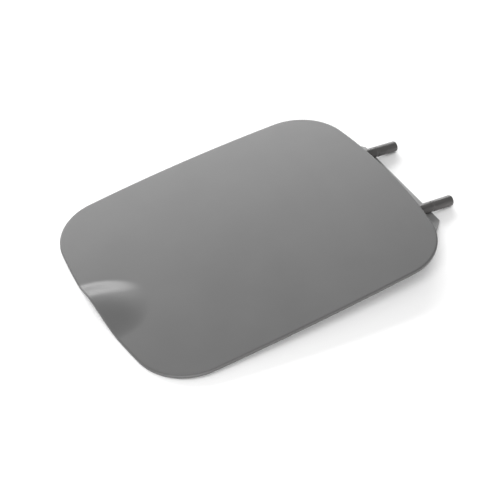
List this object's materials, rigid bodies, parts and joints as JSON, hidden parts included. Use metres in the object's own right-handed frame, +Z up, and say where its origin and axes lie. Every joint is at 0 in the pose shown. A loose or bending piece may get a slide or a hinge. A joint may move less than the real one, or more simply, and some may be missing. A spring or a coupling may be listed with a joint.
{
  "type": "fuel filler flap",
  "caption": "Hemmed steel fuel filler flap in grey primer, with a raised finger lip on one short edge and round hinge pins on a bracket at the other.",
  "frame": {"origin": "on the table, under the centre of the flap's overall box", "axes": "+X from the finger edge to the hinge pins, +Y along the hinge, +Z up out of the painted face, as the flap lies on a table"},
  "size_m": [0.2028, 0.143, 0.0137],
  "materials": {
    "skin_primer": "satin grey primer",
    "inner_primer": "thin grey dip primer",
    "bracket_primer": "grey dip primer",
    "pin_steel": "dark phosphated steel"
  },
  "bodies": {
    "root": {"outer_skin": "skin_primer", "inner_panel": "inner_primer", "hinge_bracket": "bracket_primer", "hinge_pin_far": "pin_steel", "hinge_pin_near": "pin_steel"}
  },
  "joints": []
}
